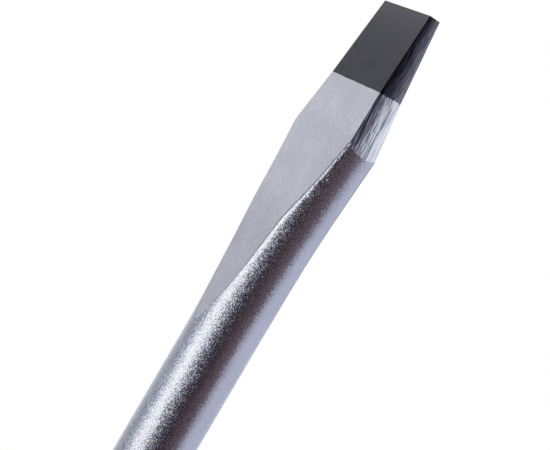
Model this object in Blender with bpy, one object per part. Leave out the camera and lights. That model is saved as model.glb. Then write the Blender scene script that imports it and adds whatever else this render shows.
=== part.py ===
"""Heavy-duty slotted screwdriver with a through tang and a strike cap.

The tool stands on its strike cap: the tool's axis is +Z, the blade points up, and the
two flats of the tip face -Y and +Y. Sizes are in millimetres and become metres as the
meshes are made.
"""

import math

import bmesh
import bpy
from mathutils import Matrix

MM = 0.001
GAP = 0.3                      # clearance between neighbouring pieces

# Blade: distances are measured down from the tip.
TOOL_LENGTH = 293.4
SHANK_R = 4.0
TIP_HALF_W = 4.95
TIP_FRONT_T = 0.74             # from the axis to the front flat, at the tip
TIP_BACK_T = 0.70
BAND_LENGTH = 9.7              # the reground and blackened end
BAND_HALF_W = 5.42
SHOULDER_AT = 15.9
SHOULDER_HALF_W = 6.22
FRONT_FLAT_LENGTH = 40.0       # where the front flat runs out on the round shank
BACK_FLAT_LENGTH = 54.0        # the back is ground a little deeper, so its flat runs longer
FRONT_FLAT_BOW = 0.0007        # how far the front flat bows out between tip and run-out
FLARE_LENGTH = 42.1            # where the shank is a plain cylinder again
FLARE_GROWTH = 0.0327          # widening of the forged flare, in shank radii
FLARE_POWER = 1.6
FLARE_SQUARENESS = 1.6         # added to the section's exponent at the shoulder
TANG_END_Z = 3.8
WING_HALF_SPAN = 6.3
WING_HALF_THICK = 0.8
WING_LOW_Z = 60.0
WING_HIGH_Z = 80.0

# Strike cap, its cross pin and the buffer ring above it.
CAP_R = 13.0
CAP_FACE_R = 11.0
CAP_HEIGHT = 12.0
SOCKET_FLOOR_Z = 3.5
PIN_R = 1.5
PIN_HALF_LENGTH = 12.5
PIN_Z = 7.5
BUFFER_R = 12.4
BUFFER_HEIGHT = 2.0

# Handle.
CORE_LOW_Z = CAP_HEIGHT + GAP + BUFFER_HEIGHT + GAP
CORE_HIGH_Z = 118.0
BORE_R = SHANK_R + GAP
HANDLE_OUTLINE = [(CORE_LOW_Z, 13.2), (17.0, 15.5), (24.0, 16.8), (40.0, 17.2), (58.0, 16.6),
                  (74.0, 15.0), (88.0, 12.8), (98.0, 11.8), (105.0, 12.7), (111.0, 13.4),
                  (115.0, 12.6), (CORE_HIGH_Z, 9.8)]
RING_LOW_Z = 102.0
RING_HIGH_Z = 110.0
RING_INNER_R = 10.6
RING_PROUD = 0.5
PAD_COUNT = 6
PAD_LOW_Z = 27.0
PAD_HIGH_Z = 92.0
PAD_HALF_ANGLE = math.radians(20.0)
PAD_DEPTH = 1.3
PAD_PROUD = 0.5
PAD_EDGE_PROUD = 0.2

# Bolster and its washer.
WASHER_R = 9.0
WASHER_LOW_Z = CORE_HIGH_Z + GAP
WASHER_HIGH_Z = WASHER_LOW_Z + 1.5
BOLSTER_LOW_Z = WASHER_HIGH_Z + GAP
BOLSTER_HIGH_Z = BOLSTER_LOW_Z + 11.0
BOLSTER_ACROSS_FLATS = 12.0
BOLSTER_CHAMFER = 1.9

ROUND_SEGMENTS = 48
SECTION_POINTS = 40
SMOOTH_ANGLE = math.radians(28.0)


def clear_scene():
    for obj in list(bpy.data.objects):
        bpy.data.objects.remove(obj, do_unlink=True)


def make_material(name, color, roughness, metallic):
    material = bpy.data.materials.new(name)
    material.use_nodes = True
    shader = material.node_tree.nodes["Principled BSDF"]
    shader.inputs["Base Color"].default_value = (*color, 1.0)
    shader.inputs["Roughness"].default_value = roughness
    shader.inputs["Metallic"].default_value = metallic
    material.diffuse_color = (*color, 1.0)
    return material


def finish_object(name, bm, material=None):
    """Turn a bmesh in millimetres into a named object in metres."""
    bmesh.ops.scale(bm, vec=(MM, MM, MM), verts=bm.verts)
    bmesh.ops.recalc_face_normals(bm, faces=bm.faces)
    mesh = bpy.data.meshes.new(name)
    bm.to_mesh(mesh)
    bm.free()
    if material:
        mesh.materials.append(material)
    mesh.shade_smooth()
    mesh.set_sharp_from_angle(angle=SMOOTH_ANGLE)
    obj = bpy.data.objects.new(name, mesh)
    bpy.context.collection.objects.link(obj)
    return obj


def as_guide(obj):
    obj.hide_render = True
    obj.display_type = "WIRE"
    return obj


def combine(obj, other, operation):
    modifier = obj.modifiers.new(f"{operation.lower()}_{other.name}", "BOOLEAN")
    modifier.operation = operation
    modifier.solver = "EXACT"
    modifier.object = other


def box(name, low, high, material=None):
    bm = bmesh.new()
    bmesh.ops.create_cube(bm, size=1.0)
    size = [b - a for a, b in zip(low, high)]
    middle = [(a + b) / 2 for a, b in zip(low, high)]
    bmesh.ops.scale(bm, vec=size, verts=bm.verts)
    bmesh.ops.translate(bm, vec=middle, verts=bm.verts)
    return finish_object(name, bm, material)


def turned(name, profile, material=None, closed=True, segments=ROUND_SEGMENTS):
    """Spin a profile of (radius, z) points about the tool's axis."""
    bm = bmesh.new()
    verts = [bm.verts.new((r, 0.0, z)) for r, z in profile]
    pairs = list(zip(verts, verts[1:]))
    if closed:
        pairs.append((verts[-1], verts[0]))
    edges = [bm.edges.new(pair) for pair in pairs]
    bmesh.ops.spin(bm, geom=verts + edges, cent=(0, 0, 0), axis=(0, 0, 1),
                   angle=2 * math.pi, steps=segments, use_merge=True)
    bmesh.ops.remove_doubles(bm, verts=bm.verts, dist=0.0001)
    return finish_object(name, bm, material)


def loft(name, rings, material=None):
    """Join a stack of point rings into one closed solid."""
    bm = bmesh.new()
    loops = [[bm.verts.new(point) for point in ring] for ring in rings]
    count = len(loops[0])
    for lower, upper in zip(loops, loops[1:]):
        for i in range(count):
            j = (i + 1) % count
            bm.faces.new((lower[i], lower[j], upper[j], upper[i]))
    bm.faces.new(loops[0])
    bm.faces.new(loops[-1])
    return finish_object(name, bm, material)


def prism(name, outline, half_depth, axis, material=None):
    """Extrude an outline of (across, z) points both ways along X or Y."""
    bm = bmesh.new()
    if axis == "X":
        points = [(-half_depth, across, z) for across, z in outline]
        push = (2 * half_depth, 0, 0)
    else:
        points = [(across, -half_depth, z) for across, z in outline]
        push = (0, 2 * half_depth, 0)
    face = bm.faces.new([bm.verts.new(point) for point in points])
    result = bmesh.ops.extrude_face_region(bm, geom=[face])
    moved = [item for item in result["geom"] if isinstance(item, bmesh.types.BMVert)]
    bmesh.ops.translate(bm, vec=push, verts=moved)
    return finish_object(name, bm, material)


def handle_radius(z):
    """Outline of the handle: a smooth curve through its stations."""
    points = HANDLE_OUTLINE
    slopes = []
    for i in range(len(points)):
        before = points[max(i - 1, 0)]
        after = points[min(i + 1, len(points) - 1)]
        slopes.append((after[1] - before[1]) / (after[0] - before[0]))
    z = min(max(z, points[0][0]), points[-1][0])
    i = 0
    while i < len(points) - 2 and z > points[i + 1][0]:
        i += 1
    (z0, r0), (z1, r1) = points[i], points[i + 1]
    span = z1 - z0
    t = (z - z0) / span
    a = 2 * t**3 - 3 * t**2 + 1
    b = (t**3 - 2 * t**2 + t) * span
    c = -2 * t**3 + 3 * t**2
    d = (t**3 - t**2) * span
    return a * r0 + b * slopes[i] + c * r1 + d * slopes[i + 1]


def blade_section(down):
    """Outline of the forged bar, before grinding, at a distance down from the tip."""
    rise = max(FLARE_LENGTH - down, 0.0) / SHANK_R
    full = (FLARE_LENGTH - SHOULDER_AT) / SHANK_R
    half_w = SHANK_R * (1.0 + FLARE_GROWTH * rise**FLARE_POWER)
    exponent = 2.0 + FLARE_SQUARENESS * min(rise / full, 1.0)
    ring = []
    for i in range(SECTION_POINTS):
        angle = 2 * math.pi * i / SECTION_POINTS
        c = math.cos(angle)
        s = math.sin(angle)
        y = SHANK_R * math.copysign(abs(s) ** (2.0 / exponent), s)
        ring.append((half_w * c, y, TOOL_LENGTH - down))
    return ring


def front_thickness(down):
    """Distance from the axis to the front flat."""
    straight = TIP_FRONT_T + (SHANK_R - TIP_FRONT_T) * down / FRONT_FLAT_LENGTH
    return straight + FRONT_FLAT_BOW * down * (FRONT_FLAT_LENGTH - down)


def back_thickness(down):
    """Distance from the axis to the back flat."""
    return TIP_BACK_T + (SHANK_R - TIP_BACK_T) * down / BACK_FLAT_LENGTH


def make_blade(steel):
    steps = 18
    stations = [-1.5] + [FLARE_LENGTH * i / steps for i in range(steps + 1)]
    rings = [blade_section(down) for down in stations]
    shank_end = TOOL_LENGTH - TANG_END_Z
    rings.append(blade_section(shank_end - 0.6))
    rings.append([(x * 0.85, y * 0.85, TANG_END_Z) for x, y, _ in blade_section(shank_end)])
    blade = loft("blade", rings, steel)

    top = TOOL_LENGTH
    bow_steps = 6
    clear = 12.0                   # the grinds clear the shank by this length past their run-out
    stations = [(FRONT_FLAT_LENGTH + clear) * i / bow_steps for i in range(bow_steps + 1)]
    front = [(-front_thickness(down), top - down) for down in stations]
    front.append((-SHANK_R - 1.0, 0.0))
    free_at = BACK_FLAT_LENGTH + clear
    back = [(TIP_BACK_T, top), (back_thickness(free_at), top - free_at), (SHANK_R + 1.0, 0.0)]
    outline = back + list(reversed(front))
    combine(blade, as_guide(prism("flat_grind", outline, 20.0, "X")), "INTERSECT")

    side = (SHOULDER_HALF_W - BAND_HALF_W) / (SHOULDER_AT - BAND_LENGTH)
    free_at = SHOULDER_AT + 12.0
    free_w = SHOULDER_HALF_W + side * (free_at - SHOULDER_AT)
    right = [(TIP_HALF_W, top), (BAND_HALF_W, top - BAND_LENGTH), (free_w, top - free_at),
             (free_w, 0.0)]
    outline = right + [(-across, z) for across, z in reversed(right)]
    combine(blade, as_guide(prism("side_grind", outline, 20.0, "Y")), "INTERSECT")

    wings = box("tang_wings", (-WING_HALF_SPAN, -WING_HALF_THICK, WING_LOW_Z),
                (WING_HALF_SPAN, WING_HALF_THICK, WING_HIGH_Z))
    combine(blade, as_guide(wings), "UNION")
    return blade


def cross_hole(name, radius):
    bm = bmesh.new()
    turn = Matrix.Rotation(math.pi / 2, 4, "Y")
    bmesh.ops.create_cone(bm, cap_ends=True, segments=20, radius1=radius, radius2=radius,
                          depth=4 * CAP_R, matrix=Matrix.Translation((0, 0, PIN_Z)) @ turn)
    return as_guide(finish_object(name, bm))


def make_strike_cap(steel):
    profile = [(0.0, 0.0), (CAP_FACE_R, 0.0), (CAP_R - 0.5, 0.9), (CAP_R, 2.4),
               (CAP_R, CAP_HEIGHT - 1.2), (CAP_R - 1.2, CAP_HEIGHT), (BORE_R, CAP_HEIGHT),
               (BORE_R, SOCKET_FLOOR_Z), (0.0, SOCKET_FLOOR_Z)]
    return turned("strike_cap", profile, steel, closed=False)


def make_cap_pin(steel):
    bm = bmesh.new()
    turn = Matrix.Rotation(math.pi / 2, 4, "Y")
    bmesh.ops.create_cone(bm, cap_ends=True, segments=20, radius1=PIN_R, radius2=PIN_R,
                          depth=2 * PIN_HALF_LENGTH,
                          matrix=Matrix.Translation((0, 0, PIN_Z)) @ turn)
    return finish_object("cap_pin", bm, steel)


def make_buffer_ring(rubber):
    low = CAP_HEIGHT + GAP
    high = low + BUFFER_HEIGHT
    profile = [(BORE_R, low), (BUFFER_R, low), (BUFFER_R + 0.3, (low + high) / 2),
               (BUFFER_R, high), (BORE_R, high)]
    return turned("buffer_ring", profile, rubber)


def pad_half_angle(v):
    """Half of a grip pad's angle: full along the pad, narrower at its two ends."""
    return PAD_HALF_ANGLE * (1.0 - abs(2.0 * v - 1.0) ** 6) ** (1.0 / 3.0)


def pad_solid(name, turn, inset, floor_depth, outer, material=None):
    """A curved panel on the handle. A negative inset makes it larger on every side."""
    across = 6
    along = 14
    end = 0.02
    loops = []
    for k in range(along + 1):
        v = end + (1.0 - 2.0 * end) * k / along
        low = PAD_LOW_Z + inset
        high = PAD_HIGH_Z - inset
        z = low + (high - low) * k / along
        radius = handle_radius(z)
        half = pad_half_angle(v) - inset / radius
        top = []
        floor = []
        for i in range(across + 1):
            u = -1.0 + 2.0 * i / across
            angle = turn + half * u
            r = radius + outer(u)
            top.append((r * math.cos(angle), r * math.sin(angle), z))
            r = radius - floor_depth
            floor.append((r * math.cos(angle), r * math.sin(angle), z))
        loops.append(top + list(reversed(floor)))
    return loft(name, loops, material)


def crown(u):
    return PAD_EDGE_PROUD + (PAD_PROUD - PAD_EDGE_PROUD) * (1.0 - u**2)


def make_handle_core(plastic):
    rows = 26
    stations = [CORE_LOW_Z + (CORE_HIGH_Z - CORE_LOW_Z) * i / rows for i in range(rows + 1)]
    groove_low = RING_LOW_Z - GAP
    groove_high = RING_HIGH_Z + GAP
    groove_r = RING_INNER_R - GAP
    outside = [(handle_radius(z), z) for z in stations if z < groove_low]
    outside += [(handle_radius(groove_low), groove_low), (groove_r, groove_low),
                (groove_r, groove_high), (handle_radius(groove_high), groove_high)]
    outside += [(handle_radius(z), z) for z in stations if z > groove_high]
    profile = outside + [(BORE_R, CORE_HIGH_Z), (BORE_R, CORE_LOW_Z)]
    core = turned("handle_core", profile, plastic, segments=60)

    slot = box("wing_slot", (-WING_HALF_SPAN - GAP, -WING_HALF_THICK - GAP, WING_LOW_Z - GAP),
               (WING_HALF_SPAN + GAP, WING_HALF_THICK + GAP, WING_HIGH_Z + GAP))
    combine(core, as_guide(slot), "DIFFERENCE")
    for index in range(PAD_COUNT):
        pocket = pad_solid(f"pad_pocket_{index + 1}", 2 * math.pi * index / PAD_COUNT,
                           -GAP, PAD_DEPTH + GAP, lambda u: 3.0)
        combine(core, as_guide(pocket), "DIFFERENCE")
    return core


def make_grip_pads(rubber):
    for index in range(PAD_COUNT):
        pad_solid(f"grip_pad_{index + 1}", 2 * math.pi * index / PAD_COUNT, 0.0,
                  PAD_DEPTH, crown, rubber)


def make_finger_ring(rubber):
    """A soft ring with three rounded ribs, seated in the groove behind the guard."""
    ribs = 3
    steps = ribs * 4
    profile = [(RING_INNER_R, RING_LOW_Z)]
    for i in range(steps + 1):
        t = i / steps
        z = RING_LOW_Z + (RING_HIGH_Z - RING_LOW_Z) * t
        wave = 0.5 - 0.5 * math.cos(2 * math.pi * ribs * t)
        profile.append((handle_radius(z) + RING_PROUD * wave, z))
    profile.append((RING_INNER_R, RING_HIGH_Z))
    return turned("finger_ring", profile, rubber)


def make_washer(steel):
    profile = [(BORE_R, WASHER_LOW_Z), (WASHER_R, WASHER_LOW_Z),
               (WASHER_R, WASHER_HIGH_Z - 0.3), (WASHER_R - 0.3, WASHER_HIGH_Z),
               (BORE_R, WASHER_HIGH_Z)]
    return turned("bolster_washer", profile, steel)


def make_hex_bolster(steel):
    corner_r = BOLSTER_ACROSS_FLATS / 2 / math.cos(math.pi / 6)
    height = BOLSTER_HIGH_Z - BOLSTER_LOW_Z
    middle = (BOLSTER_HIGH_Z + BOLSTER_LOW_Z) / 2
    bm = bmesh.new()
    place = Matrix.Translation((0, 0, middle)) @ Matrix.Rotation(math.pi / 6, 4, "Z")
    bmesh.ops.create_cone(bm, cap_ends=True, segments=6, radius1=corner_r, radius2=corner_r,
                          depth=height, matrix=place)
    bolster = finish_object("hex_bolster", bm, steel)
    top_r = BOLSTER_ACROSS_FLATS / 2 - 0.4
    profile = [(BORE_R, BOLSTER_LOW_Z - 1.0), (corner_r + 1.0, BOLSTER_LOW_Z - 1.0),
               (corner_r + 1.0, BOLSTER_HIGH_Z - BOLSTER_CHAMFER * 1.3),
               (top_r, BOLSTER_HIGH_Z), (top_r, BOLSTER_HIGH_Z + 1.0),
               (BORE_R, BOLSTER_HIGH_Z + 1.0)]
    combine(bolster, as_guide(turned("bolster_turning", profile)), "INTERSECT")
    return bolster


def main():
    clear_scene()
    satin_chrome = make_material("satin_chrome", (0.62, 0.63, 0.68), 0.3, 1.0)
    bright_steel = make_material("bright_steel", (0.55, 0.56, 0.58), 0.35, 1.0)
    hard_plastic = make_material("hard_plastic", (0.45, 0.03, 0.025), 0.35, 0.0)
    soft_rubber = make_material("soft_rubber", (0.03, 0.03, 0.032), 0.7, 0.0)

    blade = make_blade(satin_chrome)
    cap = make_strike_cap(bright_steel)
    hole = cross_hole("pin_hole", PIN_R + GAP)
    combine(blade, hole, "DIFFERENCE")
    combine(cap, hole, "DIFFERENCE")
    make_cap_pin(bright_steel)
    make_buffer_ring(soft_rubber)
    make_handle_core(hard_plastic)
    make_grip_pads(soft_rubber)
    make_finger_ring(soft_rubber)
    make_washer(bright_steel)
    make_hex_bolster(bright_steel)


main()
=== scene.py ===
"""Looks of a heavy slotted screwdriver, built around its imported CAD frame.

The tool stands on its strike cap with the blade up, so its axis is +Z. Pieces are made in
millimetres and become metres when their mesh is finished. Lighting is a plain soft studio:
light walls, one white panel and a darker side, all in the world shader.
"""

import math

import bmesh
import bpy
from mathutils import Matrix, Vector


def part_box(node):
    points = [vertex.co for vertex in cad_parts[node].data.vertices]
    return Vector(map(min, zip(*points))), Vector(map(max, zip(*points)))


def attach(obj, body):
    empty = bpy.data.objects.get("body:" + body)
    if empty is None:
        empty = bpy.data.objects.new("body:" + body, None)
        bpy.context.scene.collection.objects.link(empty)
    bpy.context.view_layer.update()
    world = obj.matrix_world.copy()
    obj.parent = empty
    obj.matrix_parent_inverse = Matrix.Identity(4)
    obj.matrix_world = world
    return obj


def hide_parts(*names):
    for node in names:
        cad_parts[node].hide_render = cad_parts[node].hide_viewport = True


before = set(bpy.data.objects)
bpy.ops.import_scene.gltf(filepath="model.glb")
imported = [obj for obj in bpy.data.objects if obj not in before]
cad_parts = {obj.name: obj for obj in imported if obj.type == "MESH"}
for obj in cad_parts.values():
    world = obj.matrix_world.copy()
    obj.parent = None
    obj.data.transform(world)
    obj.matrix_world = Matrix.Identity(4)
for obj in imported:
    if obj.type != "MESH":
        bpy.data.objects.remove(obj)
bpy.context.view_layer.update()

MM = 0.001
SEAM = 0.12                    # visible gap between a grip pad and its pocket
SHARP_ANGLE = 30.0             # edges bent by more degrees than this stay crisp
BLADE_SHARP_ANGLE = 9.0        # the flats run out into the shank at a much lower angle

# Blade: distances are measured down from the tip.
TOOL_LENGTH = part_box("blade")[1].z / MM
SHANK_R = 4.0
TIP_HALF_W = 4.95
TIP_FRONT_T = 0.74             # from the axis to the front flat, at the tip
TIP_BACK_T = 0.70
BAND_LENGTH = 9.7
BAND_HALF_W = 5.5
SHOULDER_AT = 15.9
SHOULDER_HALF_W = 6.27
FRONT_FLAT_LENGTH = 40.5
BACK_FLAT_LENGTH = 54.0        # the back is ground a little deeper, so its flat runs longer
FRONT_FLAT_BOW = 0.0004        # how far the front flat bows out between tip and run-out
SWELL = 0.2                    # and a low swell where the grinding was uneven
SWELL_AT = 26.3
SWELL_SPREAD = 3.6
DIP = 0.38                     # shallow hollow in the back flat
DIP_AT = 29.0
DIP_SPREAD = 9.0
UNEVEN_SHOULDER = 0.33         # how much fuller the flare is forged on its -X side
UNEVEN_POWER = 4               # how late on the way to the shoulder that sets in
SIDE_CROWN = 0.095             # rounding of the hand-ground sides across the thickness, at the tip
SIDE_CROWN_FADE = 0.0022       # how much of it is lost per millimetre, down to the shoulder
FLARE_LENGTH = 42.1
FLARE_GROWTH = 0.0342
FLARE_POWER = 1.6
SIDE_FLATTENING = 1.5          # growth of the forged sides' radius, up to the shoulder
FLATTENING_POWER = 2.5         # how late on the way to the shoulder that sets in
CORNER_STOCK = 0.185           # forged thickness left outside the front flat
CORNER_ROUNDING = 0.078        # rounding of the forged corners, growing towards the shoulder
CREASE_SHADE_WIDTH = 0.004           # width of the painted shade line where a flat meets the shank
CREASE_SHADE_GROWTH = 0.0055         # how much it widens per millimetre towards the tip
TANG_END_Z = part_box("blade")[0].z / MM
WING_HALF_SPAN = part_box("blade")[1].x / MM
WING_HALF_THICK = 0.8
WING_LOW_Z = 60.0
WING_HIGH_Z = 80.0

# Strike cap, its cross pin and the buffer ring.
CAP_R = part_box("strike_cap")[1].x / MM
CAP_FACE_R = 11.0
CAP_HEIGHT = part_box("strike_cap")[1].z / MM
SOCKET_FLOOR_Z = 3.5
BORE_R = 4.3
PIN_R = 1.5
PIN_HALF_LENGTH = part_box("cap_pin")[1].x / MM
PIN_Z = 7.5
BUFFER_LOW_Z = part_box("buffer_ring")[0].z / MM
BUFFER_HIGH_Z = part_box("buffer_ring")[1].z / MM
BUFFER_R = 12.4

# Handle.
CORE_LOW_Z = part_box("handle_core")[0].z / MM
CORE_HIGH_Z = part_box("handle_core")[1].z / MM
HANDLE_OUTLINE = [(CORE_LOW_Z, 13.2), (17.0, 15.5), (24.0, 16.8), (40.0, 17.2), (58.0, 16.6),
                  (74.0, 15.0), (88.0, 12.8), (98.0, 11.8), (105.0, 12.7), (111.0, 13.4),
                  (115.0, 12.6), (CORE_HIGH_Z, 9.8)]
RING_LOW_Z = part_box("finger_ring")[0].z / MM
RING_HIGH_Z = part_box("finger_ring")[1].z / MM
RING_INNER_R = 10.6
RING_PROUD = 0.5
PAD_COUNT = 6
PAD_LOW_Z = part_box("grip_pad_1")[0].z / MM
PAD_HIGH_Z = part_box("grip_pad_1")[1].z / MM
PAD_HALF_ANGLE = math.radians(20.0)
PAD_DEPTH = 1.3
PAD_PROUD = 0.5
PAD_EDGE_PROUD = 0.2
PAD_HALF_WIDTH = 5.5           # about; only the rim is measured from it
RIM_WIDTH = 1.0                # plain rim round a pad's ribs
RIM_FADE = 0.7                 # over which the ribs grow to their full depth
RIM_ROUNDING = 0.4             # width and depth of the rounding along a pad's edge
RIM_DROP = 0.35
RIB_PITCH = 3.6
RIB_DEPTH = 0.45
RIB_BEND = 1.6                 # how far the ribs bend along the handle at a pad's edges
POCKET_CLEAR = 3.0             # how far a pocket's cutter stands out of the handle

# Bolster and its washer.
WASHER_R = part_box("bolster_washer")[1].x / MM
WASHER_LOW_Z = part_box("bolster_washer")[0].z / MM
WASHER_HIGH_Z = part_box("bolster_washer")[1].z / MM
BOLSTER_LOW_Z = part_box("hex_bolster")[0].z / MM
BOLSTER_HIGH_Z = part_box("hex_bolster")[1].z / MM
BOLSTER_APOTHEM = 6.0
BOLSTER_CHAMFER = 2.5          # height of the cone turned on the bolster's upper end

# Camera, at the photograph's viewing angle.
CAMERA_AZIMUTH = 59.53         # from straight in front of the flat, towards +X
CAMERA_ELEVATION = 2.69
CAMERA_ROLL = 30.37
CAMERA_DISTANCE = 166.06
CAMERA_LENS = 100.0
CAMERA_AIM = (0.0, -1.27, TOOL_LENGTH - 27.47)

# Studio light, level with the tool and higher up: a colour for each direction round it, in
# degrees from the dark side, where the camera is. The white panel is near -60 and the lilac
# wall near 100.
LOW_LIGHT = [
    (-180, (0.80, 0.82, 0.88)), (-155, (0.66, 0.68, 0.75)), (-134, (0.42, 0.44, 0.51)),
    (-118, (0.30, 0.32, 0.40)), (-102, (0.215, 0.23, 0.305)), (-88, (0.27, 0.29, 0.37)),
    (-77, (0.62, 0.64, 0.71)), (-66, (1.12, 1.13, 1.17)), (-50, (1.26, 1.27, 1.30)),
    (-38, (0.62, 0.64, 0.74)), (-27, (0.13, 0.14, 0.19)), (-17, (0.055, 0.055, 0.080)),
    (-6, (0.030, 0.026, 0.038)), (10, (0.032, 0.021, 0.031)), (24, (0.055, 0.036, 0.050)),
    (38, (0.092, 0.064, 0.078)), (50, (0.102, 0.079, 0.098)), (59, (0.13, 0.125, 0.155)),
    (69, (0.35, 0.365, 0.455)), (82, (0.46, 0.48, 0.61)), (98, (0.50, 0.53, 0.67)),
    (125, (0.44, 0.47, 0.60)), (150, (0.52, 0.55, 0.66)), (180, (0.80, 0.82, 0.88))]
HIGH_LIGHT = [
    (-180, (0.72, 0.73, 0.79)), (-100, (0.60, 0.62, 0.69)), (-70, (1.25, 1.27, 1.3)),
    (-45, (1.25, 1.27, 1.3)), (-20, (0.12, 0.12, 0.16)), (20, (0.06, 0.055, 0.07)),
    (34, (0.09, 0.085, 0.105)), (45, (0.20, 0.20, 0.245)), (56, (0.36, 0.38, 0.46)),
    (66, (0.57, 0.60, 0.70)), (78, (0.68, 0.72, 0.81)), (110, (0.76, 0.79, 0.88)),
    (180, (0.72, 0.73, 0.79))]
CEILING = (1.6, 1.6, 1.65, 1)
FLOOR_R = 420.0
WHITE = (1.0, 1.0, 1.0, 1)


# ---------------------------------------------------------------- mesh helpers

def shade(mesh, sharp_angle=SHARP_ANGLE):
    """Shade a mesh smooth, with crisp edges where it bends by more than an angle."""
    mesh.shade_smooth()
    mesh.set_sharp_from_angle(angle=math.radians(sharp_angle))


def finish_object(name, bm, materials):
    """Turn a bmesh in millimetres into a named object in metres."""
    bmesh.ops.scale(bm, vec=(MM, MM, MM), verts=bm.verts)
    bmesh.ops.recalc_face_normals(bm, faces=bm.faces)
    mesh = bpy.data.meshes.new(name)
    bm.to_mesh(mesh)
    bm.free()
    for material in materials:
        mesh.materials.append(material)
    shade(mesh)
    obj = bpy.data.objects.new(name, mesh)
    bpy.context.scene.collection.objects.link(obj)
    return obj


def loft(name, rings, materials, wrap=False):
    """Join a stack of point rings into one solid: capped, or wrapped round on itself."""
    bm = bmesh.new()
    loops = [[bm.verts.new(point) for point in ring] for ring in rings]
    count = len(loops[0])
    pairs = list(zip(loops, loops[1:]))
    if wrap:
        pairs.append((loops[-1], loops[0]))
    for lower, upper in pairs:
        for i in range(count):
            j = (i + 1) % count
            bm.faces.new((lower[i], lower[j], upper[j], upper[i]))
    if not wrap:
        bm.faces.new(loops[0])
        bm.faces.new(loops[-1])
    return finish_object(name, bm, materials)


def circle(radius, z, points):
    """Points of a level circle round the tool's axis."""
    angles = [2 * math.pi * i / points for i in range(points)]
    return [(radius * math.cos(angle), radius * math.sin(angle), z) for angle in angles]


def turned(name, profile, materials, wrap=True, segments=144, place=None):
    """Turn a profile of (radius, z) points about the tool's axis, or about a placed one."""
    place = place or Matrix.Identity(4)
    rings = [[place @ Vector(point) for point in circle(radius, z, segments)]
             for radius, z in profile]
    return loft(name, rings, materials, wrap)


def rounded(profile, radius, closed=True, steps=4):
    """Round the crisp corners of an outline, where it turns by more than 20 degrees."""
    result = []
    last = len(profile) - 1
    for i, point in enumerate(profile):
        here = Vector(point)
        before = Vector(profile[i - 1]) - here
        after = Vector(profile[(i + 1) % len(profile)]) - here
        if (not closed and i in (0, last)) or before.angle(after) > math.radians(160):
            result.append(point)
            continue
        cut = radius / math.tan(before.angle(after) / 2)
        cut = min(cut, 0.45 * before.length, 0.45 * after.length)
        start = here + before.normalized() * cut
        end = here + after.normalized() * cut
        for k in range(steps + 1):
            t = k / steps
            result.append(tuple(start * (1 - t)**2 + here * 2 * t * (1 - t) + end * t**2))
    return result


def box(name, low, high, materials):
    """A plain box between two corners."""
    bm = bmesh.new()
    bmesh.ops.create_cube(bm, size=1.0)
    size = [b - a for a, b in zip(low, high)]
    middle = [(a + b) / 2 for a, b in zip(low, high)]
    bmesh.ops.scale(bm, vec=size, verts=bm.verts)
    bmesh.ops.translate(bm, vec=middle, verts=bm.verts)
    return finish_object(name, bm, materials)


def carve(obj, cuts, sharp_angle=SHARP_ANGLE):
    """Apply (operation, cutter) pairs in turn; cut faces take the cutter's material."""
    for operation, cutter in cuts:
        modifier = obj.modifiers.new(f"cut_{cutter.name}", "BOOLEAN")
        modifier.operation = operation
        modifier.solver = "EXACT"
        modifier.material_mode = "TRANSFER"
        modifier.object = cutter
    graph = bpy.context.evaluated_depsgraph_get()
    mesh = bpy.data.meshes.new_from_object(obj.evaluated_get(graph))
    obj.modifiers.clear()
    old = obj.data
    obj.data = mesh
    bpy.data.meshes.remove(old)
    for _, cutter in cuts:
        bpy.data.objects.remove(cutter, do_unlink=True)
    shade(mesh, sharp_angle)


# ---------------------------------------------------------------- node helpers

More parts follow.
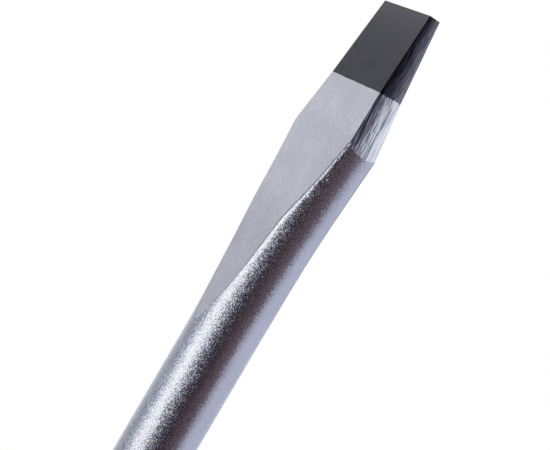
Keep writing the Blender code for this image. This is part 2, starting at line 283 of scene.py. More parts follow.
class Nodes:
    """Small wrapper that adds and links shader nodes."""

    def __init__(self, tree):
        self.tree = tree

    def add(self, kind, settings=None, **inputs):
        node = self.tree.nodes.new(kind)
        for key, value in (settings or {}).items():
            setattr(node, key, value)
        for key, value in inputs.items():
            self.feed(node, key, value)
        return node

    def feed(self, node, key, value):
        """Link or set an input, given by its name or, after an underscore, its number."""
        socket = node.inputs[int(key[1:])] if key[0] == "_" else node.inputs[key.replace("_", " ")]
        if isinstance(value, bpy.types.NodeSocket):
            self.tree.links.new(value, socket)
        else:
            socket.default_value = value

    def math(self, operation, a, b=0.0, c=0.0, clamp=False):
        node = self.add("ShaderNodeMath", {"operation": operation, "use_clamp": clamp},
                        _0=a, _1=b, _2=c)
        return node.outputs[0]

    def vector(self, operation, a, b=(0.0, 0.0, 0.0)):
        node = self.add("ShaderNodeVectorMath", {"operation": operation}, _0=a, _1=b)
        return node.outputs[0]

    def mix_color(self, factor, a, b, blend="MIX"):
        node = self.add("ShaderNodeMix", {"data_type": "RGBA", "blend_type": blend},
                        _0=factor, _6=a, _7=b)
        return node.outputs[2]

    def mix_value(self, factor, a, b):
        node = self.add("ShaderNodeMix", {"data_type": "FLOAT"}, _0=factor, _2=a, _3=b)
        return node.outputs[0]

    def multiply_color(self, a, b):
        return self.mix_color(1.0, a, b, blend="MULTIPLY")

    def ramp(self, factor, stops):
        """Colours or greys at positions from 0 to 1, with straight steps between them."""
        node = self.add("ShaderNodeValToRGB", Fac=factor)
        elements = node.color_ramp.elements
        while len(elements) < len(stops):
            elements.new(0.5)
        for element, (position, color) in zip(elements, stops):
            element.position = position
            element.color = (*color, 1.0) if isinstance(color, tuple) else (color,) * 3 + (1.0,)
        return node.outputs[0]

    def place(self, scale=(1, 1, 1)):
        """Object coordinates, which equal the frame's metres, stretched by a scale."""
        source = self.add("ShaderNodeTexCoord").outputs["Object"]
        mapping = self.add("ShaderNodeMapping", Vector=source, Scale=scale)
        return mapping.outputs[0]

    def position(self):
        """The X, Y and Z of the object coordinates, in metres."""
        source = self.add("ShaderNodeTexCoord").outputs["Object"]
        return self.split(source)

    def split(self, vector):
        """The three parts of a vector or a colour."""
        return self.add("ShaderNodeSeparateXYZ", Vector=vector).outputs

    def noise(self, scale, detail=2.0, rough=0.5, stretch=(1, 1, 1)):
        node = self.add("ShaderNodeTexNoise", Vector=self.place(stretch), Scale=scale,
                        Detail=detail, Roughness=rough)
        return node.outputs["Fac"]

    def bump(self, height, distance, normal=None):
        node = self.add("ShaderNodeBump", Strength=1.0, Distance=distance, Height=height)
        if normal is not None:
            self.feed(node, "Normal", normal)
        return node.outputs[0]

    def height_mm(self):
        """Distance up the tool's axis, in millimetres."""
        return self.math("MULTIPLY", self.position()["Z"], 1.0 / MM)

    def down_mm(self):
        """Distance down from the tip, in millimetres."""
        return self.math("MULTIPLY_ADD", self.position()["Z"], -1.0 / MM, TOOL_LENGTH)


def new_material(name, view_color):
    """A named material with the wrapper for its nodes and its shader."""
    material = bpy.data.materials.new(name)
    material.use_nodes = True
    material.diffuse_color = (*view_color, 1.0)
    nodes = Nodes(material.node_tree)
    shader = material.node_tree.nodes["Principled BSDF"]
    return material, nodes, shader


# ---------------------------------------------------------------- blade materials

def blackened(nodes, ragged=0.0, feather=0.06):
    """1 on the blackened end of the tip, 0 on bare metal, with a slightly wavy edge."""
    sway = 0.25
    wave = nodes.noise(420, detail=2)
    edge = nodes.math("MULTIPLY_ADD", wave, sway, TOOL_LENGTH - BAND_LENGTH - sway / 2)
    above = nodes.math("SUBTRACT", nodes.height_mm(), nodes.math("ADD", edge, ragged))
    return nodes.math("DIVIDE", above, feather, clamp=True)


def flat_line(nodes, down, tip_t, length):
    """Distance from the axis to a flat ground straight from the tip to its run-out."""
    return nodes.math("MULTIPLY_ADD", down, (SHANK_R - tip_t) / length, tip_t)


def hump(nodes, down, at, spread):
    """1 at a distance down the blade, falling off smoothly to both sides."""
    offset = nodes.math("MULTIPLY_ADD", down, 1.0 / spread, -at / spread)
    fall = nodes.math("MULTIPLY", nodes.math("MULTIPLY", offset, offset), -1.0)
    return nodes.math("EXPONENT", fall)


def flat_gap(nodes):
    """Depth below the nearer ground flat, in millimetres: small along the flats' edges."""
    y = nodes.math("MULTIPLY", nodes.position()["Y"], 1.0 / MM)
    down = nodes.down_mm()
    front = flat_line(nodes, down, TIP_FRONT_T, FRONT_FLAT_LENGTH)
    bow = nodes.math("MULTIPLY", down, nodes.math("SUBTRACT", FRONT_FLAT_LENGTH, down))
    front = nodes.math("MULTIPLY_ADD", nodes.math("MAXIMUM", bow, 0.0), FRONT_FLAT_BOW, front)
    swell = hump(nodes, down, SWELL_AT, SWELL_SPREAD)
    front = nodes.math("MULTIPLY_ADD", swell, SWELL, front)
    back = flat_line(nodes, down, TIP_BACK_T, BACK_FLAT_LENGTH)
    back = nodes.math("MULTIPLY_ADD", hump(nodes, down, DIP_AT, DIP_SPREAD), -DIP, back)
    return nodes.math("MINIMUM", nodes.math("ADD", front, y), nodes.math("SUBTRACT", back, y))


def soft_edge(nodes, radius):
    """Normal of the surface with its crisp edges rounded by a radius in millimetres."""
    return nodes.add("ShaderNodeBevel", {"samples": 6}, Radius=radius * MM).outputs[0]


def cells(nodes, width, length, sideways=1.0):
    """A random colour in each small cell; with sideways 0 it doesn't change along X."""
    place = nodes.place((sideways, 1.0, width / length))
    voronoi = nodes.add("ShaderNodeTexVoronoi", Vector=place, Scale=1.0 / (width * MM))
    return voronoi.outputs["Color"]


def sparkle(nodes, facets, tilt, normal):
    """Tilt the normal at random in each cell: mostly a little, now and then a lot."""
    offset = nodes.vector("SUBTRACT", facets, (0.5, 0.5, 0.5))
    gain = nodes.vector("MULTIPLY", nodes.vector("MULTIPLY", offset, offset), (5.6, 5.6, 5.6))
    gain = nodes.vector("ADD", gain, (0.36, 0.36, 0.36))
    offset = nodes.vector("MULTIPLY", nodes.vector("MULTIPLY", offset, gain), tilt)
    return nodes.vector("NORMALIZE", nodes.vector("ADD", normal, offset))


def edge_mask(nodes, radius, gain):
    """1 along crisp edges, 0 on open surfaces."""
    plain = nodes.add("ShaderNodeNewGeometry").outputs["Normal"]
    dot = nodes.add("ShaderNodeVectorMath", {"operation": "DOT_PRODUCT"},
                    _0=plain, _1=soft_edge(nodes, radius)).outputs["Value"]
    return nodes.math("MULTIPLY", nodes.math("SUBTRACT", 1.0, dot), gain, clamp=True)


def coarseness(nodes):
    """How coarse the satin is: 1 towards the flats, less on the parts facing sideways."""
    share = nodes.math("DIVIDE", nodes.math("ABSOLUTE", nodes.position()["Y"]), SHANK_R * MM)
    return nodes.ramp(share, [(0.1, 0.5), (0.35, 0.75), (0.6, 1.0)])


def satin_surface(nodes, shader, coarse, tint=None):
    """Satin chrome with a grain that is more or less coarse, and with an optional tint."""
    grain = nodes.noise(6500, detail=2.0, rough=0.6)
    cloud = nodes.noise(90, detail=3)
    color = nodes.ramp(cloud, [(0.35, (0.78, 0.785, 0.81)), (0.65, (0.84, 0.845, 0.87))])
    facets = cells(nodes, 0.08, 0.08)
    spot = nodes.math("MULTIPLY", nodes.split(facets)["Z"], coarse)
    spot = nodes.ramp(spot, [(0.66, 0.0), (0.9, 1.0)])
    color = nodes.mix_color(nodes.math("MULTIPLY", spot, 0.8), color, (0.96, 0.965, 0.98, 1))
    if tint is not None:
        color = nodes.multiply_color(color, tint)
    nodes.feed(shader, "Base Color", color)
    nodes.feed(shader, "Metallic", 1.0)
    nodes.feed(shader, "Roughness", nodes.mix_value(spot, 0.16, 0.48))
    relief = nodes.math("MULTIPLY", grain, coarse)
    normal = nodes.bump(relief, 1.2e-5, normal=soft_edge(nodes, 0.04))
    tilt = nodes.vector("MULTIPLY", coarse, (0.27, 0.27, 0.14))
    nodes.feed(shader, "Normal", sparkle(nodes, facets, tilt, normal))


def satin_chrome():
    """Satin chrome of the bolster, finer than the shank's."""
    material, nodes, shader = new_material("satin_chrome_bolster", (0.62, 0.63, 0.68))
    satin_surface(nodes, shader, nodes.math("MULTIPLY", coarseness(nodes), 0.5))
    return material


def satin_chrome_round():
    """Satin chrome of the shank, with a thin line of painted shade along the edges where the flats
    were ground.
    """
    material, nodes, shader = new_material("satin_chrome_round", (0.62, 0.63, 0.68))
    widest = CREASE_SHADE_GROWTH * FRONT_FLAT_LENGTH + CREASE_SHADE_WIDTH
    width = nodes.math("MULTIPLY_ADD", nodes.down_mm(), -CREASE_SHADE_GROWTH, widest)
    width = nodes.math("MAXIMUM", width, CREASE_SHADE_WIDTH)
    ratio = nodes.math("DIVIDE", flat_gap(nodes), width)
    # painted shade: the colour is darkened in a thin line along the flats' edges, wider towards
    # the tip
    crease_shade = nodes.ramp(ratio, [(0.4, (0.25, 0.25, 0.27)), (1.0, (1.0, 1.0, 1.0))])
    satin_surface(nodes, shader, coarseness(nodes), tint=crease_shade)
    return material


def machined_steel():
    """Turned steel: fine lathe lines round the axis, smudges, edges rubbed bright."""
    material, nodes, shader = new_material("machined_steel", (0.55, 0.56, 0.58))
    parts = nodes.position()
    flat = nodes.add("ShaderNodeCombineXYZ", X=parts["X"], Y=parts["Y"], Z=0.0)
    radius = nodes.add("ShaderNodeVectorMath", {"operation": "LENGTH"}, _0=flat.outputs[0])
    lathe = nodes.add("ShaderNodeCombineXYZ", X=radius.outputs["Value"], Y=0.0, Z=parts["Z"])
    lines = nodes.add("ShaderNodeTexNoise", Vector=lathe.outputs[0], Scale=5200, Detail=3.0)
    lines = lines.outputs["Fac"]
    cloud = nodes.noise(130, detail=4, rough=0.6)
    worn = edge_mask(nodes, 0.3, 3.0)
    color = nodes.ramp(lines, [(0.3, (0.50, 0.505, 0.52)), (0.7, (0.63, 0.635, 0.65))])
    color = nodes.mix_color(nodes.math("MULTIPLY", cloud, 0.35), color, (0.42, 0.41, 0.41, 1))
    nodes.feed(shader, "Base Color", nodes.mix_color(worn, color, (0.80, 0.80, 0.81, 1)))
    nodes.feed(shader, "Metallic", 1.0)
    nodes.feed(shader, "Roughness", nodes.ramp(cloud, [(0.3, 0.22), (0.7, 0.38)]))
    nodes.feed(shader, "Normal", nodes.bump(lines, 8e-6, normal=soft_edge(nodes, 0.1)))
    return material


def grip_rubber():
    """Black elastomer: pebbled skin, dusty in patches, paler where edges rub."""
    material, nodes, shader = new_material("grip_rubber", (0.03, 0.03, 0.032))
    skin = nodes.add("ShaderNodeTexVoronoi", Vector=nodes.place(), Scale=2600).outputs["Distance"]
    grain = nodes.noise(6000, detail=2)
    cloud = nodes.noise(160, detail=4, rough=0.65)
    worn = edge_mask(nodes, 0.4, 2.0)
    color = nodes.ramp(cloud, [(0.35, (0.016, 0.016, 0.018)), (0.7, (0.034, 0.033, 0.034))])
    color = nodes.mix_color(nodes.math("MULTIPLY", grain, 0.3), color, (0.05, 0.05, 0.052, 1))
    nodes.feed(shader, "Base Color",
               nodes.mix_color(nodes.math("MULTIPLY", worn, 0.6), color, (0.11, 0.105, 0.1, 1)))
    nodes.feed(shader, "Roughness", nodes.ramp(cloud, [(0.3, 0.55), (0.7, 0.75)]))
    normal = nodes.bump(skin, 3e-5)
    nodes.feed(shader, "Normal", nodes.bump(grain, 1e-5, normal=normal))
    return material


def red_plastic():
    """Moulded red plastic: faint orange peel, fine scuffs, paler worn edges."""
    material, nodes, shader = new_material("red_plastic", (0.45, 0.03, 0.025))
    peel = nodes.noise(1500, detail=2)
    cloud = nodes.noise(70, detail=4, rough=0.6)
    scuff = nodes.noise(1.0, detail=4, rough=0.7, stretch=(500, 500, 3800))
    scuff = nodes.ramp(scuff, [(0.58, 0.0), (0.72, 1.0)])
    patch = nodes.ramp(cloud, [(0.42, 0.0), (0.62, 1.0)])
    scuffed = nodes.math("MULTIPLY", nodes.math("MULTIPLY", scuff, patch), 0.35)
    worn = nodes.math("MULTIPLY", edge_mask(nodes, 0.35, 2.0), 0.5)
    color = nodes.ramp(cloud, [(0.3, (0.40, 0.018, 0.016)), (0.7, (0.50, 0.030, 0.024))])
    color = nodes.mix_color(scuffed, color, (0.62, 0.12, 0.10, 1))
    nodes.feed(shader, "Base Color", nodes.mix_color(worn, color, (0.68, 0.14, 0.11, 1)))
    nodes.feed(shader, "Roughness", nodes.mix_value(scuffed, 0.24, 0.65))
    nodes.feed(shader, "Coat Weight", 0.25)
    nodes.feed(shader, "Coat Roughness", 0.12)
    normal = nodes.bump(peel, 8e-6, normal=soft_edge(nodes, 0.15))
    nodes.feed(shader, "Normal", nodes.bump(scuffed, 4e-6, normal=normal))
    return material


def ground_flat():
    """Ground flats: matt bare steel with faint short streaks, and the blackened end."""
    material, nodes, shader = new_material("ground_flat", (0.6, 0.6, 0.64))
    black = blackened(nodes)
    streak = nodes.noise(1.0, detail=3, rough=0.6, stretch=(3000, 3000, 900))
    cloud = nodes.noise(260, detail=4)
    mottle = nodes.noise(900, detail=3, rough=0.6)
    grains = cells(nodes, 0.12, 0.3)
    speck = nodes.split(grains)["X"]
    metal = nodes.ramp(cloud, [(0.3, (0.83, 0.83, 0.845)), (0.7, (1.0, 0.995, 1.0))])
    metal = nodes.mix_color(nodes.math("MULTIPLY", speck, 0.6), metal, (0.70, 0.70, 0.72, 1))
    metal = nodes.mix_color(nodes.ramp(mottle, [(0.35, 0.3), (0.6, 0.0)]), metal,
                            (0.72, 0.72, 0.74, 1))
    fade = nodes.math("SUBTRACT", nodes.height_mm(), TOOL_LENGTH - BAND_LENGTH)
    fade = nodes.math("DIVIDE", fade, BAND_LENGTH, clamp=True)
    oxide = nodes.ramp(mottle, [(0.3, (0.021, 0.022, 0.024)), (0.7, (0.044, 0.038, 0.054))])
    oxide = nodes.mix_color(nodes.math("POWER", fade, 3.0), oxide, (0.085, 0.08, 0.09, 1))
    oxide = nodes.mix_color(nodes.math("MULTIPLY", speck, 0.12), oxide, (0.12, 0.115, 0.13, 1))
    nodes.feed(shader, "Base Color", nodes.mix_color(black, metal, oxide))
    nodes.feed(shader, "Metallic", nodes.math("SUBTRACT", 1.0, black))
    nodes.feed(shader, "Roughness", nodes.mix_value(black, 0.46, 0.5))
    normal = nodes.bump(streak, 1.2e-5, normal=soft_edge(nodes, 0.04))
    nodes.feed(shader, "Normal", sparkle(nodes, grains, (0.12, 0.12, 0.05), normal))
    return material


def side_share(nodes):
    """0 at the front edge of a ground side, 1 at its back edge."""
    down = nodes.down_mm()
    front = flat_line(nodes, down, TIP_FRONT_T, FRONT_FLAT_LENGTH)
    back = flat_line(nodes, down, TIP_BACK_T, BACK_FLAT_LENGTH)
    inward = nodes.math("MULTIPLY_ADD", nodes.position()["Y"], 1.0 / MM, front)
    return nodes.math("DIVIDE", inward, nodes.math("ADD", front, back))


def ground_side():
    """Hand-ground sides: fine scratches lengthwise, with painted shade that darkens them towards
    the front edge.
    """
    material, nodes, shader = new_material("ground_side", (0.5, 0.5, 0.55))
    scratch = nodes.noise(1.0, detail=2, rough=0.5, stretch=(0, 3600, 190))
    fine = nodes.noise(1.0, detail=1, rough=0.5, stretch=(0, 8500, 700))
    grains = cells(nodes, 0.12, 1.4, sideways=0.0)
    share = side_share(nodes)
    black = blackened(nodes, ragged=nodes.math("MULTIPLY_ADD", fine, 0.6, -0.3))
    # painted shade: the tone is darker towards the front edge and brighter towards the back edge,
    # broken up by the scratches
    scratch_and_shade = nodes.math("MULTIPLY_ADD", scratch, 0.7, nodes.math("SUBTRACT", share, 0.35))
    painted_shade_tone = nodes.ramp(scratch_and_shade, [(0.05, (0.42, 0.42, 0.47)), (0.3, (0.80, 0.81, 0.86)),
                               (0.65, (1.0, 1.0, 1.0))])
    streak = nodes.split(cells(nodes, 0.12, 2.6, sideways=0.0))["X"]
    lines = nodes.ramp(streak, [(0.1, (0.20, 0.21, 0.27)), (0.42, (1.0, 1.0, 1.0))])
    # the scratch lines fade out towards the back edge, where the painted tone is brightest
    lines = nodes.mix_color(nodes.ramp(share, [(0.5, 1.0), (0.85, 0.25)]), WHITE, lines)
    metal = nodes.multiply_color(painted_shade_tone, lines)
    # the oxide gets painted shade as well: darker towards the front edge, lighter towards the back
    # edge
    oxide = nodes.ramp(share, [(0.0, (0.035, 0.033, 0.045)), (0.3, (0.07, 0.066, 0.085)),
                               (1.0, (0.265, 0.26, 0.285))])
    dull = nodes.ramp(fine, [(0.35, (0.6, 0.6, 0.6)), (0.65, (1.3, 1.3, 1.3))])
    oxide = nodes.multiply_color(oxide, dull)
    nodes.feed(shader, "Base Color", nodes.mix_color(black, metal, oxide))
    nodes.feed(shader, "Metallic", 1.0)
    nodes.feed(shader, "Roughness", nodes.mix_value(black, 0.16, 0.2))
    normal = nodes.bump(scratch, 1.8e-5, normal=soft_edge(nodes, 0.04))
    normal = nodes.bump(fine, 2.0e-5, normal=normal)
    nodes.feed(shader, "Normal", sparkle(nodes, grains, (0.1, 0.2, 0.03), normal))
    return material


# ---------------------------------------------------------------- blade shape

def front_thickness(down):
    """Distance from the axis to the front flat."""
    straight = TIP_FRONT_T + (SHANK_R - TIP_FRONT_T) * down / FRONT_FLAT_LENGTH
    bow = FRONT_FLAT_BOW * max(down * (FRONT_FLAT_LENGTH - down), 0.0)
    return straight + bow + SWELL * math.exp(-((down - SWELL_AT) / SWELL_SPREAD) ** 2)


def back_thickness(down):
    """Distance from the axis to the back flat."""
    straight = TIP_BACK_T + (SHANK_R - TIP_BACK_T) * down / BACK_FLAT_LENGTH
    return straight - DIP * math.exp(-((down - DIP_AT) / DIP_SPREAD) ** 2)


def side_half_width(down):
    """Half width between the ground sides, at the flats."""
    if down < BAND_LENGTH:
        return TIP_HALF_W + (BAND_HALF_W - TIP_HALF_W) * down / BAND_LENGTH
    slope = (SHOULDER_HALF_W - BAND_HALF_W) / (SHOULDER_AT - BAND_LENGTH)
    return BAND_HALF_W + slope * (down - BAND_LENGTH)


def soft_minimum(a, b, blend):
    """The smaller of two values, rounded off where they meet."""
    low = min(a, b)
    return low - blend * math.log(1.0 + math.exp(-abs(a - b) / blend))


def blade_section(down, points):
    """Forged bar before grinding: bulging sides, pressed to a thickness, rounded corners."""
    rise = max(FLARE_LENGTH - down, 0.0) / SHANK_R
    full = (FLARE_LENGTH - SHOULDER_AT) / SHANK_R
    half_w = SHANK_R * (1.0 + FLARE_GROWTH * rise**FLARE_POWER)
    flared = min(rise / full, 1.0)
    side_r = SHANK_R + SIDE_FLATTENING * flared**FLATTENING_POWER
    half_t = front_thickness(down) + CORNER_STOCK
    blend = max(CORNER_ROUNDING * rise, 0.001)
    offset = half_w - side_r
    ring = []
    for i in range(points):
        angle = 2 * math.pi * i / points
        c = math.cos(angle)
        s = math.sin(angle)
        r = offset * abs(c) + math.sqrt(side_r**2 - (offset * s) ** 2)
        r += UNEVEN_SHOULDER * flared**UNEVEN_POWER * max(-c, 0.0)
        if rise > 0.0:
            r = soft_minimum(r, half_t / max(abs(s), 1e-6), blend)
        ring.append((r * c, r * s, TOOL_LENGTH - down))
    return ring


def flat_grind(material):
    """Wedge between the two flats; below them it is wide enough to leave the shank alone."""
    reach = 7.5
    clear = SHANK_R + 2.0
    front_end = FRONT_FLAT_LENGTH + 6.0
    back_end = BACK_FLAT_LENGTH + 8.0
    steps = 120
    rings = []
    for i in range(steps + 1):
        down = front_end * i / steps
        near = -front_thickness(down)
        far = back_thickness(down)
        z = TOOL_LENGTH - down
        rings.append([(-reach, near, z), (reach, near, z), (reach, far, z), (-reach, far, z)])
    for down, far in ((back_end, back_thickness(back_end)), (TOOL_LENGTH, clear)):
        z = TOOL_LENGTH - down
        rings.append([(-reach, -clear, z), (reach, -clear, z), (reach, far, z), (-reach, far, z)])
    return loft("flat_grind", rings, [material])


def side_grind(material):
    """Tapered cutter for the two ground sides, slightly crowned across the thickness."""
    across = 16
    half_y = 4.6
    taper_end = 30.0
    stations = [0.0, 3.0, 6.0, BAND_LENGTH] + [BAND_LENGTH + i for i in range(1, 14)]
    stations += [60.0, TOOL_LENGTH]
    rings = []
    for down in stations:
        near = min(down, taper_end)
        half_t = front_thickness(near)
        crown = SIDE_CROWN - SIDE_CROWN_FADE * min(near, SHOULDER_AT)
        right = []
        for i in range(across + 1):
            y = -half_y + 2 * half_y * i / across
            x = side_half_width(near) + crown * (half_t**2 - y**2)
            right.append((x, y, TOOL_LENGTH - down))
        rings.append(right + [(-x, y, z) for x, y, z in reversed(right)])
    return loft("side_grind", rings, [material])


def build_blade():
    """Forged bar with its tang, cut by the ground flats and sides and the pin's hole."""
    round_steel = satin_chrome_round()
    flat_steel = ground_flat()
    side_steel = ground_side()
    points = 240
    step = 0.6
    lengths = 12
    end_taper = 0.85
    past_tip = -1.0            # the bar starts above the tip, and the grinding cuts it there
    shank_end = TOOL_LENGTH - TANG_END_Z
    stations = [past_tip] + [step * i for i in range(int(FLARE_LENGTH / step) + 1)]
    stations += [FLARE_LENGTH + (shank_end - 1 - FLARE_LENGTH) * i / lengths
                 for i in range(1, lengths + 1)]
    rings = [blade_section(down, points) for down in stations]
    rings.append([(x * end_taper, y * end_taper, TANG_END_Z)
                  for x, y, _ in blade_section(shank_end, points)])
    blade = loft("blade_bar", rings, [round_steel])
    wings = box("wings", (-WING_HALF_SPAN, -WING_HALF_THICK, WING_LOW_Z),
                (WING_HALF_SPAN, WING_HALF_THICK, WING_HIGH_Z), [round_steel])
    carve(blade, [("INTERSECT", flat_grind(flat_steel)), ("INTERSECT", side_grind(side_steel)),
                  ("UNION", wings), ("DIFFERENCE", pin_hole(round_steel))],
          BLADE_SHARP_ANGLE)
    return blade


# ---------------------------------------------------------------- cap, rings and bolster

def pin_place():
    """Turns a piece made about the tool's axis onto the cross pin's axis."""
    return Matrix.Translation((0, 0, PIN_Z)) @ Matrix.Rotation(math.pi / 2, 4, "Y")


def pin_hole(material):
    """Cutter for the cross pin's hole, longer than the cap is wide."""
    radius = PIN_R + SEAM
    profile = [(radius, -2 * CAP_R), (radius, 2 * CAP_R)]
    return turned("pin_hole", profile, [material], wrap=False, segments=48, place=pin_place())


def build_strike_cap(steel):
    """Socketed cap with a chamfered face, two fine grooves and the cross pin's hole."""
    groove = 0.35
    outline = [(0.4, 0.0), (CAP_FACE_R, 0.0), (CAP_R - 0.5, 0.9), (CAP_R, 2.4)]
    for z in (3.4, CAP_HEIGHT - 2.6):
        outline += [(CAP_R, z - groove), (CAP_R - groove, z), (CAP_R, z + groove)]
    outline += [(CAP_R, CAP_HEIGHT - 1.2), (CAP_R - 1.2, CAP_HEIGHT), (BORE_R, CAP_HEIGHT),
                (BORE_R, SOCKET_FLOOR_Z)]
    cap = turned("strike_cap_turned", rounded(outline, 0.4, closed=False), [steel], wrap=False,
                 segments=180)
    carve(cap, [("DIFFERENCE", pin_hole(steel))])
    return cap


def build_cap_pin(steel):
    """Cross pin with chamfered ends."""
    chamfer = 0.35
    end = PIN_HALF_LENGTH
    half = [(0.5, end - 0.3), (PIN_R - chamfer - 0.2, end), (PIN_R, end - chamfer - 0.2)]
    profile = [(r, -z) for r, z in half] + list(reversed(half))
    return turned("cross_pin", rounded(profile, 0.15, closed=False), [steel], wrap=False,
                  segments=48, place=pin_place())


def build_buffer_ring(rubber):
    """Soft ring between the handle and the cap, slightly bulged."""
    middle = (BUFFER_LOW_Z + BUFFER_HIGH_Z) / 2
    profile = [(BORE_R, BUFFER_LOW_Z), (BUFFER_R, BUFFER_LOW_Z), (BUFFER_R + 0.3, middle),
               (BUFFER_R, BUFFER_HIGH_Z), (BORE_R, BUFFER_HIGH_Z)]
    return turned("buffer_ring_moulded", rounded(profile, 0.5, steps=6), [rubber])


def build_washer(steel):
    """Flat washer between the bolster and the handle."""
    profile = [(BORE_R, WASHER_LOW_Z), (WASHER_R, WASHER_LOW_Z), (WASHER_R, WASHER_HIGH_Z),
               (BORE_R, WASHER_HIGH_Z)]
    return turned("washer_pressed", rounded(profile, 0.35), [steel])


def build_hex_bolster(steel):
    """Hexagon with turned chamfers at both ends and softened corners."""
    points = 240
    steps = 80
    soft = 0.04
    corner_r = BOLSTER_APOTHEM / math.cos(math.pi / 6)
    clear_r = corner_r + 2.0
    wide_r = corner_r + 1.0
    top_r = BOLSTER_APOTHEM - 0.4
    chamfer_z = BOLSTER_HIGH_Z - BOLSTER_CHAMFER
    rings = []
    for k in range(steps + 1):
        z = BOLSTER_LOW_Z + (BOLSTER_HIGH_Z - BOLSTER_LOW_Z) * k / steps
        upper = wide_r - (wide_r - top_r) * (z - chamfer_z) / BOLSTER_CHAMFER
        lower = corner_r - 0.4 + (z - BOLSTER_LOW_Z)
        turned_r = soft_minimum(min(upper, clear_r), min(lower, clear_r), 0.05)
        ring = []
        for i in range(points):
            angle = 2 * math.pi * i / points
            facet = (angle + math.pi / 6 - math.pi / 2) % (math.pi / 3) - math.pi / 6
            hex_r = soft_minimum(BOLSTER_APOTHEM / math.cos(facet), corner_r - 0.1, soft)
            r = soft_minimum(hex_r, turned_r, soft)
            ring.append((r * math.cos(angle), r * math.sin(angle), z))
        rings.append(ring)
    for radius, z in ((BORE_R + 0.2, BOLSTER_HIGH_Z), (BORE_R, BOLSTER_HIGH_Z - 0.2),
                      (BORE_R, BOLSTER_LOW_Z)):
        rings.append(circle(radius, z, points))
    return loft("bolster_forged", rings, [steel], wrap=True)


# ---------------------------------------------------------------- handle

def handle_radius(z):
    """Outline of the handle: a smooth curve through its stations."""
    points = HANDLE_OUTLINE
    slopes = []
    for i in range(len(points)):
        before = points[max(i - 1, 0)]
        after = points[min(i + 1, len(points) - 1)]
        slopes.append((after[1] - before[1]) / (after[0] - before[0]))
    z = min(max(z, points[0][0]), points[-1][0])
    i = 0
    while i < len(points) - 2 and z > points[i + 1][0]:
        i += 1
    (z0, r0), (z1, r1) = points[i], points[i + 1]
    span = z1 - z0
    t = (z - z0) / span
    a = 2 * t**3 - 3 * t**2 + 1
    b = (t**3 - 2 * t**2 + t) * span
    c = -2 * t**3 + 3 * t**2
    d = (t**3 - t**2) * span
    return a * r0 + b * slopes[i] + c * r1 + d * slopes[i + 1]


def pad_half_angle(v):
    """Half of a grip pad's angle: full along the pad, rounded off at its two ends."""
    return PAD_HALF_ANGLE * (1.0 - abs(2.0 * v - 1.0) ** 6) ** (1.0 / 3.0)


def pad_stations():
    """Fractions along a pad, closer together where its ends round off."""
    count = 210
    inner = [i / count for i in range(3, count - 2)]
    ends = [0.003, 0.005, 0.008, 0.011]
    return ends + inner + [1.0 - end for end in reversed(ends)]


def pad_solid(name, turn, grow, depth, outer, materials, across):
    """A curved panel on the handle, grown at its sides and ends by a margin."""
    rings = []
    for v in pad_stations():
        z = PAD_LOW_Z - grow + (PAD_HIGH_Z - PAD_LOW_Z + 2 * grow) * v
        radius = handle_radius(z)
        half = pad_half_angle(v) + grow / radius
        top = []
        floor = []
        for i in range(across + 1):
            u = math.sin(math.pi / 2 * (2.0 * i / across - 1.0))
            angle = turn + half * u
            r = radius + outer(u, v, z)
            top.append((r * math.cos(angle), r * math.sin(angle), z))
            r = radius - depth
            floor.append((r * math.cos(angle), r * math.sin(angle), z))
        rings.append(top + list(reversed(floor)))
    return loft(name, rings, materials)


def pad_surface(u, v, z):
    """Height of a pad above the handle: crowned, with cross ribs and a soft rim."""
    crown = PAD_EDGE_PROUD + (PAD_PROUD - PAD_EDGE_PROUD) * (1.0 - u**2)
    end = min(v, 1.0 - v) * (PAD_HIGH_Z - PAD_LOW_Z)
    side = (1.0 - abs(u)) * PAD_HALF_WIDTH
    rim = min(side, end)
    field = min(max((rim - RIM_WIDTH) / RIM_FADE, 0.0), 1.0)
    wave = 0.5 - 0.5 * math.cos(2 * math.pi * (z + RIB_BEND * u**2 - PAD_LOW_Z) / RIB_PITCH)
    groove = RIB_DEPTH * (1.0 - wave**0.5) * field
    fall = max(1.0 - rim / RIM_ROUNDING, 0.0)
    return crown - groove - RIM_DROP * (1.0 - math.sqrt(max(1.0 - fall**2, 0.0)))


def build_handle_core(plastic):
    """Moulded handle with the ring's groove, the wings' slot and a pocket for each pad."""
    step = 0.6
    margin = 0.3
    count = int((CORE_HIGH_Z - CORE_LOW_Z) / step)
    stations = [CORE_LOW_Z + (CORE_HIGH_Z - CORE_LOW_Z) * i / count for i in range(count + 1)]
    low = RING_LOW_Z - SEAM
    high = RING_HIGH_Z + SEAM
    floor_r = RING_INNER_R - SEAM
    outside = [(handle_radius(z), z) for z in stations if z < low - margin]
    outside += [(handle_radius(low), low), (floor_r, low), (floor_r, high),
                (handle_radius(high), high)]
    outside += [(handle_radius(z), z) for z in stations if z > high + margin]
    profile = outside + [(BORE_R, CORE_HIGH_Z), (BORE_R, CORE_LOW_Z)]
    core = turned("handle_moulded", rounded(profile, 0.5), [plastic], segments=240)
    slot = box("wing_slot", (-WING_HALF_SPAN - SEAM, -WING_HALF_THICK - SEAM, WING_LOW_Z - SEAM),
               (WING_HALF_SPAN + SEAM, WING_HALF_THICK + SEAM, WING_HIGH_Z + SEAM), [plastic])
    cuts = [("DIFFERENCE", slot)]
    for index in range(PAD_COUNT):
        turn = 2 * math.pi * index / PAD_COUNT
        pocket = pad_solid(f"pocket_{index + 1}", turn, SEAM, PAD_DEPTH + SEAM,
                           lambda u, v, z: POCKET_CLEAR, [plastic], across=10)
        cuts.append(("DIFFERENCE", pocket))
    carve(core, cuts)
    return core


def build_grip_pads(rubber):
    """The soft inlays, one for each pocket."""
    pads = []
    for index in range(PAD_COUNT):
        turn = 2 * math.pi * index / PAD_COUNT
        pads.append(pad_solid(f"ribbed_pad_{index + 1}", turn, 0.0, PAD_DEPTH, pad_surface,
                              [rubber], across=30))
    return pads


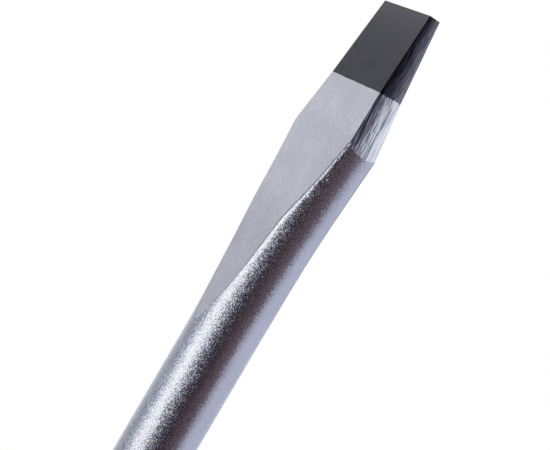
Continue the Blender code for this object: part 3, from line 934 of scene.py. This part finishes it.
def build_finger_ring(rubber):
    """A soft ring with three rounded ribs, seated in the groove behind the guard."""
    ribs = 3
    steps = ribs * 20
    profile = [(RING_INNER_R, RING_LOW_Z)]
    for i in range(steps + 1):
        t = i / steps
        z = RING_LOW_Z + (RING_HIGH_Z - RING_LOW_Z) * t
        wave = 0.5 - 0.5 * math.cos(2 * math.pi * ribs * t)
        profile.append((handle_radius(z) + RING_PROUD * (wave - 0.3), z))
    profile.append((RING_INNER_R, RING_HIGH_Z))
    return turned("finger_ring_moulded", profile, [rubber], segments=180)


# ---------------------------------------------------------------- studio

def build_world():
    """Soft studio: light by direction round the tool's axis, and a plain white backdrop."""
    world = bpy.data.worlds.new("studio")
    bpy.context.scene.world = world
    world.use_nodes = True
    nodes = Nodes(world.node_tree)
    background = world.node_tree.nodes["Background"]
    direction = nodes.add("ShaderNodeTexCoord").outputs["Generated"]
    turn = nodes.add("ShaderNodeVectorRotate", {"rotation_type": "Z_AXIS"}, Vector=direction,
                     Angle=math.radians(90.0 - CAMERA_AZIMUTH))
    parts = nodes.split(turn.outputs[0])
    angle = nodes.math("ARCTAN2", parts["Y"], parts["X"])
    around = nodes.math("MULTIPLY_ADD", angle, 0.5 / math.pi, 0.5)
    rings = [nodes.ramp(around, [((degrees + 180) / 360, color) for degrees, color in light])
             for light in (LOW_LIGHT, HIGH_LIGHT)]
    rise = nodes.ramp(parts["Z"], [(0.03, 0.0), (0.2, 1.0)])
    walls = nodes.mix_color(rise, *rings)
    lift = nodes.ramp(parts["Z"], [(0.5, 0.0), (0.85, 1.0)])
    room = nodes.mix_color(lift, walls, CEILING)
    seen = nodes.add("ShaderNodeLightPath").outputs["Is Camera Ray"]
    nodes.feed(background, "Color", nodes.mix_color(seen, room, WHITE))


def build_floor():
    """Round white floor under the strike cap."""
    bm = bmesh.new()
    bmesh.ops.create_circle(bm, cap_ends=True, segments=96, radius=FLOOR_R)
    material, nodes, shader = new_material("floor_white", (0.9, 0.9, 0.9))
    nodes.feed(shader, "Base Color", (0.9, 0.9, 0.9, 1))
    nodes.feed(shader, "Roughness", 0.8)
    floor = finish_object("floor", bm, [material])


def build_camera():
    """Camera at the photograph's viewing angle, rolled as the photograph is."""
    azimuth = math.radians(CAMERA_AZIMUTH)
    elevation = math.radians(CAMERA_ELEVATION)
    roll = math.radians(CAMERA_ROLL)
    back = Vector((math.sin(azimuth) * math.cos(elevation),
                   -math.cos(azimuth) * math.cos(elevation), math.sin(elevation)))
    level = Vector((math.cos(azimuth), math.sin(azimuth), 0.0))
    upward = back.cross(level)
    right = math.cos(roll) * level + math.sin(roll) * upward
    up = back.cross(right)
    data = bpy.data.cameras.new("camera")
    data.lens = CAMERA_LENS
    data.clip_start = 0.01
    camera = bpy.data.objects.new("camera", data)
    bpy.context.scene.collection.objects.link(camera)
    place = Matrix((right, up, back)).transposed().to_4x4()
    place.translation = Vector(CAMERA_AIM) * MM + back * CAMERA_DISTANCE * MM
    camera.matrix_world = place
    bpy.context.scene.camera = camera


def place_piece(piece, node):
    """Let a piece replace a plain node of the frame: hang it under the root and hide the node."""
    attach(piece, "root")
    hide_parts(node)


def main():
    """Set up the studio, then build every piece and put it in its node's place."""
    bpy.context.scene.view_settings.view_transform = "Standard"
    build_camera()
    build_world()
    build_floor()
    chrome = satin_chrome()
    steel = machined_steel()
    rubber = grip_rubber()
    place_piece(build_blade(), "blade")
    place_piece(build_hex_bolster(chrome), "hex_bolster")
    place_piece(build_washer(steel), "bolster_washer")
    place_piece(build_handle_core(red_plastic()), "handle_core")
    place_piece(build_finger_ring(rubber), "finger_ring")
    place_piece(build_buffer_ring(rubber), "buffer_ring")
    place_piece(build_strike_cap(steel), "strike_cap")
    place_piece(build_cap_pin(steel), "cap_pin")
    for index, pad in enumerate(build_grip_pads(rubber)):
        place_piece(pad, f"grip_pad_{index + 1}")


main()
